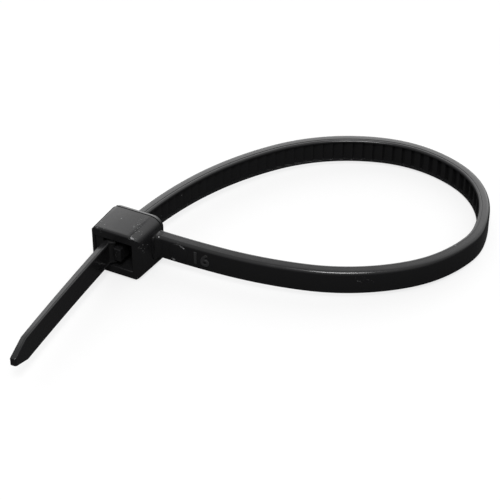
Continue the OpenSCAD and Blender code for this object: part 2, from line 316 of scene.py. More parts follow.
@dataclass
class Loop:
    """The path of the strap's middle line, from the head's side round to the slot and on to the tail's tip."""

    bends: tuple[tuple[float, float], ...] = (
        (89.8, 3.3), (39.8, 11), (19.3, 27.4), (11.5, 16.8), (12.2, 14.5), (5.6, 21.7),
        (11.4, 18.7), (7.98, 40.3), (11.53, 40.21), (17.1, 35.71), (28.32, 19.69), (33.92, 8.83),
    )
    root_run: float = 0.85
    entry_bend: float = 18.2
    slot_reach: float = 3.34
    slot_heading: float = 270
    exit_y: float = -2.955
    past_exit: float = 0.1
    tail: float = 15.9
    tail_bow: float = 0.09
    kink_r: float = 12
    guide_steps: int = 32
    runs: list[Triple] = field(default_factory=list)
    slot_start: float = 0
    slot_top: float = 0

    def __post_init__(self) -> None:
        """Closes the path with a straight and a last bend into the slot, and adds the tail's slight bow."""
        self.runs = [(0, 0, self.root_run)] + [(r, turn, r * math.radians(turn)) for r, turn in self.bends]
        place, heading = self.at(self.length())
        last_turn = self.slot_heading - heading
        close = self.entry_bend * (1 + math.sin(math.radians(heading))) - self.slot_reach - place.x
        self.runs.append((0, 0, close / math.cos(math.radians(heading))))
        self.runs.append((self.entry_bend, last_turn, self.entry_bend * math.radians(last_turn)))
        self.slot_start = self.length()
        self.slot_top = self.at(self.slot_start)[0].y
        self.runs.append((0, 0, self.slot_top - self.exit_y + self.past_exit))
        turn = math.atan(4 * self.tail_bow / self.tail)
        self.runs.append((-self.kink_r, -math.degrees(turn), self.kink_r * turn))
        rest = self.to_slot(self.exit_y) + self.tail - self.length()
        self.runs.append((rest / (2 * turn), math.degrees(2 * turn), rest))

    def length(self) -> float:
        """The length of the path so far."""
        return sum(run[2] for run in self.runs)

    def at(self, s: float) -> tuple[Vector, float]:
        """Finds a place on the path.

        Args:
            s: The length along the path.

        Returns:
            The place and the heading in degrees.
        """
        place, heading = Vector((0, 0, 0)), 0.0
        for radius, turn, length in self.runs:
            part = min(max(s, 0), length)
            a = math.radians(heading)
            if radius:
                b = a + part / radius
                place = place + radius * Vector((math.sin(b) - math.sin(a), math.cos(a) - math.cos(b), 0))
                heading += math.degrees(part / radius)
            else:
                place = place + part * Vector((math.cos(a), math.sin(a), 0))
            s -= length
            if s <= 0:
                break
        return place, heading

    def to_slot(self, y: float) -> float:
        """The length along the path at a level y of the slot or the tail."""
        return self.slot_start + self.slot_top - y

    def guide(self) -> bpy.types.Object:
        """Draws the path as a curve that the strap is bent along.

        Returns:
            The curve.
        """
        line = bpy.data.curves.new("loop_guide", "CURVE")
        line.dimensions = "2D"
        line.resolution_u = self.guide_steps
        spline = line.splines.new("BEZIER")
        spline.bezier_points.add(len(self.runs))
        s = 0.0
        for i, knot in enumerate(spline.bezier_points):
            place, heading = self.at(s)
            ahead = Vector((math.cos(math.radians(heading)), math.sin(math.radians(heading)), 0))
            knot.handle_left_type = knot.handle_right_type = "FREE"
            knot.co = place
            knot.handle_left = place - ahead * self.reach_of(i - 1)
            knot.handle_right = place + ahead * self.reach_of(i)
            if i < len(self.runs):
                s += self.runs[i][2]
        guide = bpy.data.objects.new("loop_guide", line)
        bpy.context.collection.objects.link(guide)
        return guide

    def reach_of(self, i: int) -> float:
        """Works out the handles that make a curve follow a run.

        Args:
            i: The run's number, which may be one off either end.

        Returns:
            The length of the run's handles.
        """
        if not 0 <= i < len(self.runs):
            return 1
        radius, turn, length = self.runs[i]
        return 4 / 3 * math.tan(math.radians(turn) / 4) * radius if radius else length / 3


@dataclass
class Strap:
    """The strap, from inside the head round the loop to the tip of the tail."""

    loop: Loop
    width: float = 2.5
    thick: float = 1.05
    smooth_r: float = 0.36
    rail_r: float = 0.18
    parting: float = 0.3
    parting_step: float = 0.03
    groove: float = 0.04
    draft: float = 0.024
    rail: float = 0.26
    crest_drop: float = 0.12
    tooth_depth: float = 0.24
    tooth_pitch: float = 0.96
    crest: float = 0.16
    bare: float = 9
    held: float = 0.45
    ramp: float = 0.35
    run_out: float = 1.65
    run_out_depth: float = 0.1
    tail_thick: float = 0.64
    tail_r: float = 0.12
    tip_thick: float = 0.54
    tip_start_width: float = 2.44
    tip_width: float = 0.8
    tip: float = 1.9
    inside: float = 0.6
    root_flare: float = 0.45
    flare_below: float = 0.2
    flare_parts: tuple[float, ...] = (0, 0.05, 0.12, 0.2, 0.31, 0.44, 0.6, 0.8, 1)
    root_step: float = 0.24
    tooth_wall: float = 0.08
    tail_steps: int = 6
    tip_blunt: float = 0.12
    tip_blunt_thick: float = 0.85
    side_from: float = 0.5
    smooth_steps: int = 8
    rail_steps: int = 9
    number_at: float = 4.3
    number_height: float = 1.3
    number_proud: float = 0.05
    number_bold: float = 0.012
    number_steps: int = 6
    pin_at: float = 2.16
    pin_across: float = 0.08
    pin_r: float = 0.92
    pin_proud: float = 0.035
    pin_edge: float = 0.0315
    pin_steps: int = 3
    pin_sides: int = 64

    def widen(self, bench: Bench, more: float, test: Callable[[Vector], bool]) -> None:
        """Moves the vertices that pass a test outwards on both sides of the strap.

        Args:
            bench: The bench with a stretch of strap on it.
            more: How far they move, or below 0 for inwards.
            test: Takes a vertex's place.
        """
        for side in (-1, 1):
            bench.move((0, 0, side * more), lambda co, _: test(co) and side * co.z > self.side_from)

    def block(self, name: str, start: float, end: float) -> Bench:
        """Shapes a stretch of strap with its rounded edges, parting line and channel, open at both ends.

        Args:
            name: The piece's name.
            start: Where the stretch starts along the strap.
            end: Where it ends.

        Returns:
            The bench with the stretch on it.
        """
        top = self.thick / 2
        bench = Bench(name, (start, -top, -self.width / 2), (end, top, self.width / 2))
        bench.open_ends()
        bench.round_edges(self.smooth_r, self.smooth_steps, lambda mid, way: abs(way.x) > ALONG and mid.y < 0)
        bench.round_edges(self.rail_r, self.rail_steps, lambda mid, way: abs(way.x) > ALONG and mid.y > top - NEAR)
        line = top - self.parting
        half = self.groove / 2
        self.widen(bench, -self.draft, lambda co: co.y < self.smooth_r - top + NEAR)
        bench.cut(Axis.Y, line - 2 * half, line - half, line)
        self.widen(bench, -self.groove, lambda co: abs(co.y - line + half) < NEAR)
        self.widen(bench, -self.parting_step, lambda co: co.y > line - NEAR)
        self.widen(bench, -self.draft / 3, lambda co: co.y > line + NEAR)
        channel = self.width / 2 - self.rail
        bench.cut(Axis.Z, -channel, -channel + NARROW, channel - NARROW, channel)
        bench.move(
            (0, -self.crest_drop, 0), lambda co, _: co.y > top - NEAR and abs(co.z) < channel - NARROW / 2
        )
        return bench

    def root(self, end: float) -> bpy.types.Object:
        """Shapes the bare stretch next to the head, which flares into the head's side.

        Args:
            end: Where the teeth start.

        Returns:
            The piece.
        """
        bench = self.block("root", -self.inside, end)
        flare = [self.root_flare * part for part in self.flare_parts]
        count = int((end - self.root_flare) / self.root_step)
        rest = [self.root_flare + (end - self.root_flare) * k / count for k in range(1, count)]
        bench.cut(Axis.X, *flare, *rest)
        for x in [-self.inside, *flare[:-1]]:
            gone = self.root_flare - max(x, 0)
            out = self.root_flare - math.sqrt(self.root_flare**2 - gone**2)
            bench.scale(
                (1, 1 + out / self.thick, 1),
                Vector((0, self.thick / 2, 0)),
                lambda co, _: abs(co.x - x) < NEAR and co.y < self.flare_below,
            )
            bench.scale((1, 1, 1 + out / self.width / 2), Vector(), lambda co, _: abs(co.x - x) < NEAR)
        return bench.close()

    def toothed(self, start: float, count: int) -> bpy.types.Object:
        """Shapes one tooth with the gap before it, and repeats it along the strap up to the end of the last crest.

        Args:
            start: Where the first stretch starts.
            count: How many teeth there are.

        Returns:
            The toothed stretch.
        """
        middle = self.tooth_pitch / 2
        bench = self.block("teeth", start, start + self.tooth_pitch)
        level = self.thick / 2 - self.crest_drop
        ramp = self.tooth_pitch - self.crest
        half = self.tooth_depth * (middle - self.crest) / ramp
        depths = {
            0.0: half,
            middle - self.tooth_wall: self.tooth_depth,
            middle: 0.0,
            middle + self.crest: 0.0,
            self.tooth_pitch: half,
        }
        between = (middle / 2, middle + self.crest + (middle - self.crest) / 2)
        bench.cut(Axis.X, *(start + x for x in depths if 0 < x < self.tooth_pitch))
        floor_half = self.width / 2 - self.rail - NARROW / 2
        for x, depth in depths.items():
            bench.move(
                (0, -depth, 0),
                lambda co, _: abs(co.x - start - x) < NEAR and abs(co.z) < floor_half and co.y > level - NEAR,
            )
        bench.cut(Axis.X, *(start + x for x in between))
        teeth = bench.close()
        Shop.repeat(teeth, count, self.tooth_pitch)
        row = Bench.reopen(teeth)
        end = start + (count - 1) * self.tooth_pitch + middle + self.crest
        row.pick(Part.VERT, lambda co, _: co.x > end + NEAR)
        bpy.ops.mesh.delete(type="VERT")
        return row.close()

    def square_up(self, bench: Bench, start: float) -> None:
        """Sharpens the smooth face's two edges and closes the parting line, from a place on to the tip.

        Args:
            bench: The bench with the tail on it.
            start: Where the sharper edges start.
        """
        half, less = self.width / 2, self.smooth_r - self.tail_r
        for k in range(self.smooth_steps + 1):
            turn = math.pi / 2 * k / self.smooth_steps
            low, wide = 1 - math.sin(turn), 1 - math.cos(turn)
            y, z = self.smooth_r * low - self.thick / 2, half - self.smooth_r * wide - self.draft
            for side in (-1, 1):
                bench.move(
                    (0, -less * low, side * less * wide),
                    lambda co, _: co.x > start - NEAR and abs(co.y - y) < 2 * NEAR and abs(side * co.z - z) < 2 * NEAR,
                )
        line = self.thick / 2 - self.parting - self.groove / 2
        self.widen(bench, self.groove, lambda co: co.x > start - NEAR and abs(co.y - line) < NEAR)

    def tail_piece(self, start: float, end: float) -> bpy.types.Object:
        """Shapes the end of the strap: a ramp down from the rails, the flat tail and its pointed tip.

        Args:
            start: Where the last tooth ends.
            end: Where the tail ends.

        Returns:
            The tail.
        """
        bench = self.block("tail", start, end)
        foot = self.loop.to_slot(self.loop.exit_y - self.loop.past_exit)
        channel_end = self.loop.to_slot(self.loop.exit_y) + self.run_out
        thin, tip_thin = self.tail_thick / self.thick, self.tip_thick / self.thick
        tip = end - self.tip
        rings = {foot - self.ramp: (1.0, 1.0), foot - self.ramp / 2: ((1 + thin) / 2, 1.0), foot: (thin, 1.0)}
        steps = (foot + k * (tip - foot) / self.tail_steps for k in range(2, self.tail_steps + 1))
        for x in (channel_end - 2 * self.run_out_depth, channel_end, *steps):
            part = (x - foot) / (tip - foot)
            rings[x] = (thin + part * (tip_thin - thin), 1 + part * (self.tip_start_width / self.width - 1))
        rings[end - self.tip_blunt] = (tip_thin, (self.tip_width + self.tip_blunt) / self.width)
        rings[end] = (self.tip_blunt_thick * tip_thin, self.tip_width / self.width)
        bench.cut(Axis.X, *(x for x in rings if x < end))
        self.square_up(bench, foot)
        channel = self.width / 2 - self.rail - NARROW / 2
        floor = self.thick / 2 - self.crest_drop
        sunk = self.crest_drop - self.run_out_depth / thin
        bench.move(
            (0, sunk, 0),
            lambda co, _: foot - NEAR < co.x < channel_end - NEAR and abs(co.z) < channel and co.y > floor - NEAR,
        )
        bench.move(
            (0, self.crest_drop, 0),
            lambda co, _: co.x > channel_end - NEAR and abs(co.z) < channel and co.y > floor - NEAR,
        )
        smooth_face = Vector((0, -self.thick / 2, 0))
        for x, (deep, wide) in rings.items():
            bench.scale((1, deep, wide), smooth_face, lambda co, _: abs(co.x - x) < NEAR)
        return bench.close()

    def number(self) -> bpy.types.Object:
        """Raises the mould's cavity number on the smooth face.

        Returns:
            The number.
        """
        bpy.ops.object.select_all(action="DESELECT")
        bpy.ops.object.text_add(location=(self.number_at, -self.thick / 2, 0), rotation=(math.pi / 2, 0, 0))
        number = bpy.context.object
        number.name = "number"
        digits = number.data
        digits.body = "16"
        digits.align_x = "CENTER"
        digits.align_y = "CENTER"
        digits.size = self.number_height * FONT_SIZE
        digits.extrude = self.number_proud
        digits.bevel_depth = self.number_proud / 2
        digits.offset = self.number_bold
        digits.resolution_u = self.number_steps
        bpy.ops.object.convert(target="MESH")
        return Shop.settle()

    def pin_mark(self) -> bpy.types.Object:
        """Leaves the round witness mark of an ejector pin on the smooth face.

        Returns:
            The mark.
        """
        bpy.ops.object.select_all(action="DESELECT")
        bpy.ops.mesh.primitive_cylinder_add(
            location=(self.pin_at, -self.thick / 2, self.pin_across), rotation=(math.pi / 2, 0, 0),
            radius=self.pin_r, depth=2 * self.pin_proud, vertices=self.pin_sides,
        )
        mark = Bench.reopen(Shop.settle())
        mark.round_edges(
            self.pin_edge, self.pin_steps, lambda mid, way: abs(way.y) < ALONG and mid.y < -self.thick / 2
        )
        return mark.close()

    def build(self) -> bpy.types.Object:
        """Builds the flat strap and bends it along the loop.

        Returns:
            The strap.
        """
        held_wall = self.loop.to_slot(self.loop.exit_y + self.held)
        tooth_n = math.floor((held_wall - self.bare) / self.tooth_pitch)
        first = held_wall - tooth_n * self.tooth_pitch - self.tooth_pitch / 2
        tip = self.loop.to_slot(self.loop.exit_y) + self.loop.tail
        pieces = [self.root(first), self.toothed(first, tooth_n + 1), self.tail_piece(held_wall + self.crest, tip)]
        flat = Shop.weld(pieces, "strap")
        Shop.cap(flat)
        number, mark = self.number(), self.pin_mark()
        # Two plain materials tell the number's faces from the rest until both get their finishes.
        flat.data.materials.append(bpy.data.materials.new("smooth"))
        number.data.materials.clear()
        number.data.materials.append(bpy.data.materials.new("raised"))
        mark.data.materials.append(flat.data.materials[0])
        strap = Shop.weld([flat, number, mark], "strap")
        guide = self.loop.guide()
        Shop.take(strap)
        bpy.ops.object.modifier_add(type="CURVE")
        bent = strap.modifiers[-1]
        bent.object = guide
        bent.deform_axis = "POS_X"
        bpy.ops.object.modifier_apply(modifier=bent.name)
        bpy.data.objects.remove(guide, do_unlink=True)
        Shop.smooth(strap)
        return strap


@dataclass
class Head:
    """The head with its slot, exit recess and pawl."""

    strap: Strap
    length: float = 5.16
    width: float = 4.8
    entry_y: float = 0.865
    exit_y: float = -2.955
    lean: float = 9
    far_lean: float = 4
    near_r: float = 1.15
    near_low_r: float = 0.65
    far_r: float = 0.7
    exit_r: float = 0.28
    corner_r: float = 0.8
    back_r: float = 1.15
    entry_r: float = 0.1
    rim: float = 0.28
    rim_groove: float = 0.12
    rim_groove_depth: float = 0.07
    rim_slope: float = 0.2
    slot_gap: float = 0.12
    exit_wall: float = 0.42
    recess_width: float = 2.9
    recess: float = 0.12
    recess_edge: float = 0.05
    pocket_wall: float = 0.66
    hinge: float = 0.75
    pawl_width: float = 1.3
    pawl_thick: float = 0.66
    pawl_gap: float = 0.07
    pawl_edge: float = 0.06
    pawl_out: float = 0.1
    over: float = 1
    hair: float = 0.002
    far_steps: int = 12
    near_steps: int = 14
    corner_steps: int = 8
    entry_steps: int = 5
    pawl_steps: int = 3

    def blank(self, name: str, over_x: float, over_y: float, over_z: float) -> Bench:
        """Cuts a block with the head's leaning sides.

        Args:
            name: The block's name.
            over_x: How much it stands over on its leaning sides.
            over_y: How much it stands over at the entry and the exit.
            over_z: How much it stands over across the strap.

        Returns:
            The bench with the block on it.
        """
        half = self.width / 2 + over_z
        low, high = self.exit_y - over_y, self.entry_y + over_y
        bench = Bench(name, (-self.length - over_x, low, -half), (over_x, high, half))
        for y in (low, high):
            near = y * math.tan(math.radians(self.lean))
            draft = (y - self.exit_y) * math.tan(math.radians(self.far_lean))
            bench.move((near, 0, 0), lambda co, _: co.x > over_x - NEAR and abs(co.y - y) < NEAR)
            bench.move((draft, 0, 0), lambda co, _: co.x < -self.length - over_x + NEAR and abs(co.y - y) < NEAR)
        return bench

    def shell(self) -> bpy.types.Object:
        """Shapes the head's outside: its leaning sides, rounded edges and the rim round its entry.

        Returns:
            The head without its openings.
        """
        middle = -self.length / 2
        body = self.blank("head", 0, 0, 0)
        body.round_edges(self.far_r, self.far_steps, lambda mid, way: abs(way.y) > ALONG and mid.x < middle)
        for side, radius in ((1, self.near_r), (-1, self.near_low_r)):
            body.round_edges(
                radius,
                self.near_steps,
                lambda mid, way: abs(way.y) > ALONG and mid.x > middle and side * mid.z > self.width / 2 - NEAR,
            )
        head = body.close()
        self.round_plan(head)
        side = self.blank("side", self.over, self.hair, self.hair)
        side.round_edges(self.exit_r, self.corner_steps, lambda mid, way: abs(way.x) > ALONG and mid.y < 0)
        side.round_edges(
            self.entry_r, self.entry_steps, lambda mid, way: abs(way.x) > ALONG and mid.y > self.entry_y - NEAR
        )
        Shop.carve(head, side.close(), Carving.KEEP_SHARED)
        return self.rimmed(head)

    def round_plan(self, head: bpy.types.Object) -> None:
        """Rounds the head's four upright corners, each by its own radius.

        Args:
            head: The head's outside.
        """
        middle_x, middle_y = -self.length / 2, (self.exit_y + self.entry_y) / 2
        plan = self.blank("plan", self.hair, self.hair, self.over)
        for radius, at_exit, at_far in (
            (self.exit_r, True, True),
            (self.corner_r, True, False),
            (self.back_r, False, True),
            (self.entry_r, False, False),
        ):
            plan.round_edges(
                radius,
                self.corner_steps,
                lambda mid, way: abs(way.z) > ALONG and (mid.y < middle_y) == at_exit
                and (mid.x < middle_x) == at_far and self.is_corner(mid),
            )
        Shop.carve(head, plan.close(), Carving.KEEP_SHARED)

    def rimmed(self, head: bpy.types.Object) -> bpy.types.Object:
        """Cuts a groove round the head below its entry, and slopes the rim above the groove.

        Args:
            head: The head's outside.

        Returns:
            The head with its rim.
        """
        centre = Vector((-self.length / 2, 0, 0))
        bench = Bench.reopen(head)
        rim_y = self.entry_y - self.rim
        low_y = rim_y - self.rim_groove
        bench.cut(Axis.Y, low_y, low_y + NARROW, rim_y - NARROW, rim_y)
        bench.scale(
            (1 - 2 * self.rim_groove_depth / self.length, 1, 1 - 2 * self.rim_groove_depth / self.width),
            centre,
            lambda co, _: low_y + NARROW / 2 < co.y < rim_y - NARROW / 2,
        )
        # Levels are told apart to the third decimal, so each vertex is within half of that of its level.
        levels = {round(vert.co.y, 3) for vert in bmesh.from_edit_mesh(head.data).verts if vert.co.y > rim_y - NEAR}
        for y in levels:
            less = 2 * self.rim_slope * (y - rim_y)
            bench.scale(
                (1 - less / self.length, 1, 1 - less / self.width), centre, lambda co, _: abs(co.y - y) < 0.6 * NEAR
            )
        return bench.close()

    def is_corner(self, mid: Vector) -> bool:
        """Tells an upright corner of the whole block from the edges of a rounding that is already there."""
        return min(abs(mid.y - self.exit_y), abs(mid.y - self.entry_y)) < 5 * NEAR

    def slot_flare(self) -> float:
        """Works out how much wider the slot is at its entry, where the strap is still bending.

        Returns:
            The flare in millimetres.
        """
        loop = self.strap.loop
        turn = math.asin((self.entry_y - loop.slot_top) / loop.entry_bend)
        place, heading = loop.at(loop.slot_start - loop.entry_bend * turn)
        return place.x - self.strap.thick / 2 * (math.sin(math.radians(heading)) + 1) + loop.slot_reach

    def drift(self, y: float) -> float:
        """How far the strap still is from the slot's line at level y."""
        loop = self.strap.loop
        return loop.entry_bend * (1 - math.cos(math.asin(max(y - loop.slot_top, 0) / loop.entry_bend)))

    def pawl(self) -> bpy.types.Object:
        """Shapes the pawl: an arm that hangs from the entry side, with two teeth in the strap's gaps.

        Returns:
            The pawl.
        """
        strap = self.strap
        near = strap.thick / 2 - strap.crest_drop + self.pawl_gap - strap.loop.slot_reach
        far = near + self.pawl_thick
        top = self.entry_y - self.hinge / 2
        end = self.exit_y - self.pawl_out
        bench = Bench("pawl", (near, end, -self.pawl_width / 2), (far, top, self.pawl_width / 2))
        teeth = {}
        for k in range(2):
            wall_y = self.exit_y + strap.held + k * strap.tooth_pitch
            teeth[wall_y + self.pawl_gap - NARROW] = 0.0
            teeth[wall_y + self.pawl_gap] = -strap.tooth_depth
            teeth[wall_y + strap.tooth_pitch - strap.crest] = 0.0
        bench.cut(Axis.Y, *teeth)
        for y, depth in teeth.items():
            bench.move((depth + self.drift(y), 0, 0), lambda co, _: abs(co.y - y) < NEAR and co.x < near + NEAR)
            lean = (y - self.exit_y) / (top - self.exit_y) * (self.drift(top) + strap.crest_drop)
            bench.move((lean, 0, 0), lambda co, _: abs(co.y - y) < NEAR and co.x > far - NEAR)
        bench.move((self.drift(top) + strap.crest_drop, 0, 0), lambda co, _: abs(co.y - top) < NEAR)
        bench.round_edges(self.pawl_edge, self.pawl_steps, lambda mid, _: abs(mid.y - end) < NEAR)
        return bench.close()

    def build(self) -> bpy.types.Object:
        """Builds the head and cuts its slot, recess and pocket.

        Returns:
            The head with its pawl.
        """
        strap = self.strap
        slope = math.tan(math.radians(self.lean))
        middle = -strap.loop.slot_reach
        head = self.shell()
        before, beyond = self.exit_y - self.over, self.entry_y + self.over
        slot_half = strap.thick / 2 + self.slot_gap
        slot = Bench(
            "slot",
            (middle - slot_half, before, -strap.width / 2 - self.slot_gap),
            (middle + slot_half, beyond, strap.width / 2 + self.slot_gap),
        )
        slot.cut(Axis.Y, self.exit_y)
        wider = self.slot_flare() * (beyond - self.exit_y) / (self.entry_y - self.exit_y)
        slot.move((wider, 0, 0), lambda co, _: co.x > middle and co.y > self.entry_y)
        Shop.carve(head, slot.close())
        pocket_x = self.exit_y * slope - self.pocket_wall
        recess = Bench(
            "recess",
            (-self.length + self.exit_wall, before, -self.recess_width / 2),
            (pocket_x, self.exit_y + self.recess, self.recess_width / 2),
        )
        recess.cut(Axis.Y, self.exit_y + self.recess_edge)
        wide = 1 + 2 * (self.over + self.recess_edge) / self.recess_width
        long = 1 + 2 * (self.over + self.recess_edge) / (self.length - self.exit_wall + pocket_x)
        centre = Vector(((pocket_x - self.length + self.exit_wall) / 2, 0, 0))
        recess.scale((long, 1, wide), centre, lambda co, _: co.y < before + NEAR)
        Shop.carve(head, recess.close())
        pocket = Bench(
            "pocket",
            (middle, before, -self.recess_width / 2),
            (pocket_x, self.entry_y - self.hinge, self.recess_width / 2),
        )
        Shop.carve(head, pocket.close())
        Shop.carve(head, self.pawl(), Carving.ADD)
        Shop.smooth(head)
        return head


class Wiring:
    """The nodes of a material or of the world, and the links between them."""

    def __init__(self, tree: bpy.types.NodeTree) -> None:
        """Takes the tree that nodes are added to."""
        self.tree = tree

    def fill(self, node: bpy.types.Node, inputs: dict[str | int, object]) -> bpy.types.Node:
        """Fills a node's inputs.

        Args:
            node: The node.
            inputs: For each input, its value or the socket that it is linked from.

        Returns:
            The node.
        """
        for name, value in inputs.items():
            if isinstance(value, bpy.types.NodeSocket):
                self.tree.links.new(value, node.inputs[name])
            else:
                node.inputs[name].default_value = value
        return node

    def add(self, kind: str, inputs: dict[str | int, object]) -> bpy.types.Node:
        """Adds a node of a kind, fills its inputs and returns it."""
        return self.fill(self.tree.nodes.new(kind), inputs)

    def combine(self, how: Sum, one: bpy.types.NodeSocket, other: bpy.types.NodeSocket) -> bpy.types.NodeSocket:
        """Works out one value from two.

        Args:
            how: What is worked out.
            one: The first value's socket.
            other: The second value's socket.

        Returns:
            The result's socket.
        """
        node = self.add("ShaderNodeMath", {0: one, 1: other})
        node.operation = how.value
        return node.outputs["Value"]

    def noise(self, place: bpy.types.NodeSocket, scale: float, detail: float) -> bpy.types.NodeSocket:
        """Adds a noise and returns its socket.

        Args:
            place: The coordinates that it follows.
            scale: Its scale.
            detail: How many finer layers it has.

        Returns:
            The socket with the noise's value.
        """
        return self.add("ShaderNodeTexNoise", {"Vector": place, "Scale": scale, "Detail": detail}).outputs["Fac"]


@dataclass(frozen=True)
class WearAndHighlightSpot:
    """A light spot painted on the nylon, which is wear in some places and a painted highlight in others: its place and
    radius in millimetres, whether it is broken into specks, and how strongly it is painted.
    """

    place: Triple
    radius: float
    specks: bool
    strength: float


@dataclass(frozen=True)
class Nylon:
    """Satin black nylon with fine grain, and the light spots painted on it: wear that handling leaves, and painted
    highlights.
    """

    name: str
    colour: tuple[float, float, float, float] = (0.0117, 0.0117, 0.0123, 1)
    # The colour of the light spots, which stands for wear and, on some spots, for a painted highlight.
    wear_and_highlight_colour: tuple[float, float, float, float] = (0.25, 0.25, 0.255, 1)
    roughness: float = 0.2
    roughness_play: float = 0.04
    grain_scale: float = 9000
    grain_detail: float = 4
    grain_depth: float = 0.00002
    grain_strength: float = 0.1
    cloud_scale: float = 900
    cloud_detail: float = 6
    cloud_low: float = 0.3
    cloud_high: float = 0.7
    speck_scale: float = 5200
    speck_detail: float = 2
    speck_from: float = 0.6
    speck_edge: float = 0.05
    painted_spot_core: float = 0.4
    wear_and_highlights: tuple[WearAndHighlightSpot, ...] = ()

    def material(self, matrix: Matrix) -> bpy.types.Material:
        """Makes the material.

        Args:
            matrix: Takes the moulding's millimetres to the floor's metres.

        Returns:
            The material.
        """
        material = bpy.data.materials.new(self.name)
        material.use_nodes = True
        wiring = Wiring(material.node_tree)
        place = wiring.add("ShaderNodeTexCoord", {}).outputs["Object"]
        grain = wiring.add("ShaderNodeBump", {
            "Strength": self.grain_strength,
            "Distance": self.grain_depth,
            "Height": wiring.noise(place, self.grain_scale, self.grain_detail),
        })
        gloss = wiring.add("ShaderNodeMapRange", {
            "Value": wiring.noise(place, self.cloud_scale, self.cloud_detail),
            "From Min": self.cloud_low,
            "From Max": self.cloud_high,
            "To Min": self.roughness - self.roughness_play,
            "To Max": self.roughness + self.roughness_play,
        })
        shader = wiring.fill(wiring.tree.nodes["Principled BSDF"], {
            "Base Color": self.colour,
            "Roughness": gloss.outputs["Result"],
            "Normal": grain.outputs["Normal"],
        })
        # Mixes in the colour of the light spots, which is wear on some spots and a painted highlight on others.
        if self.wear_and_highlights:
            colour = wiring.add("ShaderNodeMix", {})
            colour.data_type = "RGBA"
            wear_and_highlight = self.paint_wear_and_highlights(wiring, place, matrix)
            wiring.fill(colour, {"Factor": wear_and_highlight, "A": self.colour, "B": self.wear_and_highlight_colour})
            wiring.fill(shader, {"Base Color": colour.outputs["Result"]})
        return material

    def paint_wear_and_highlights(self, wiring: Wiring, place: bpy.types.NodeSocket, matrix: Matrix) -> bpy.types.NodeSocket:
        """Adds the painted light spots, both wear and painted highlights, which fade at their rims.

        Args:
            wiring: The material's nodes.
            place: The socket with the material's coordinates.
            matrix: Takes the moulding's millimetres to the floor's metres.

        Returns:
            The socket that says how strongly the nylon is painted with wear and highlights, from 0 to 1.
        """
        specks = wiring.add("ShaderNodeMapRange", {
            "Value": wiring.noise(place, self.speck_scale, self.speck_detail),
            "From Min": self.speck_from,
            "From Max": self.speck_from + self.speck_edge,
        })
        wear_and_highlight = None
        for painted_spot in self.wear_and_highlights:
            away = wiring.add("ShaderNodeVectorMath", {0: place, 1: matrix @ Vector(painted_spot.place)})
            away.operation = "DISTANCE"
            spot = wiring.add("ShaderNodeMapRange", {
                "Value": away.outputs["Value"],
                "From Min": painted_spot.radius * MM,
                "From Max": painted_spot.radius * MM * self.painted_spot_core,
                "To Max": painted_spot.strength,
            })
            mark = spot.outputs["Result"]
            if painted_spot.specks:
                mark = wiring.combine(Sum.MULTIPLY, mark, specks.outputs["Result"])
            wear_and_highlight = wiring.combine(Sum.MOST, wear_and_highlight, mark) if wear_and_highlight else mark
        return wear_and_highlight


def wear_and_highlights(*rows: tuple[float, float, float, float], specks: bool = False, strength: float = 0.4) -> list[WearAndHighlightSpot]:
    """The painted light spots of one kind, from rows that hold a place and a radius."""
    return [WearAndHighlightSpot(row[:3], row[3], specks, strength) for row in rows]


# Light spots on the strap. The spots at X 2.3 to 2.75 and Z 0.78 to 0.97, on the upper arc of the ejector pin's raised
# ring, are a painted highlight where that arc faces the light; the other spots are nicks, worn spots and specks.
STRAP_WEAR_AND_HIGHLIGHTS = (
    *wear_and_highlights((1.75, -0.5, -0.8, 0.2), (2.75, -0.55, 0.78, 0.1), strength=1),
    *wear_and_highlights((2.3, -0.5, 0.95, 0.3), (18.21, 2.57, 0.55, 0.5), (19.01, 3.03, 0.3, 0.4), specks=True),
    *wear_and_highlights(
        (1.6, -0.5, -0.75, 0.14), (2.6, -0.55, 0.88, 0.1), (2.4, -0.55, 0.97, 0.06), (-1.85, 4.02, -0.35, 0.08),
        (-1.08, 6.58, 0.45, 0.08), (-0.85, 7.23, -0.9, 0.1), (1.04, 11.34, 0.75, 0.07), (16.38, 3.09, 1.2, 0.1),
        (17.22, 3.34, 1.2, 0.12), (18.0, 3.71, 1.2, 0.08), (20.93, 7.99, 1.2, 0.1), (24.26, 9.69, 1.2, 0.1),
    ),
)
# Light spots on the head. The two solid full-strength spots at the near end of the exit face's top edge are a painted
# highlight of the key lamp on that rounded corner, and the specked spot round the same corner is partly wear and
# partly painted highlight; the other spots are wear.
HEAD_WEAR_AND_HIGHLIGHTS = (
    *wear_and_highlights((-1.1, -2.85, 2.3, 0.15), (-0.95, -2.8, 2.27, 0.13), strength=1),
    *wear_and_highlights(
        (-1.32, -1.25, 2.4, 0.55), (-0.9, -1.8, 2.3, 0.6), (-1.4, -0.5, 2.4, 0.4), (-4.4, -2.5, 2.3, 0.7),
        (-1.1, -2.8, 2.25, 0.5), (-0.4, -2.35, 1.2, 0.45), (-0.3, -1.7, 0.9, 0.3), (-0.34, -2.12, 0.6, 0.3),
        specks=True,
    ),
    *wear_and_highlights((-3.16, -0.9, 2.4, 0.1), (-4.3, -2.7, 2.3, 0.12)),
)
STRAP_FINISHES = (
    Nylon("strap nylon", wear_and_highlights=STRAP_WEAR_AND_HIGHLIGHTS),
    Nylon("raised nylon", colour=(0.032, 0.032, 0.033, 1), roughness=0.5),
)
HEAD_FINISHES = (Nylon("head nylon", wear_and_highlights=HEAD_WEAR_AND_HIGHLIGHTS),)


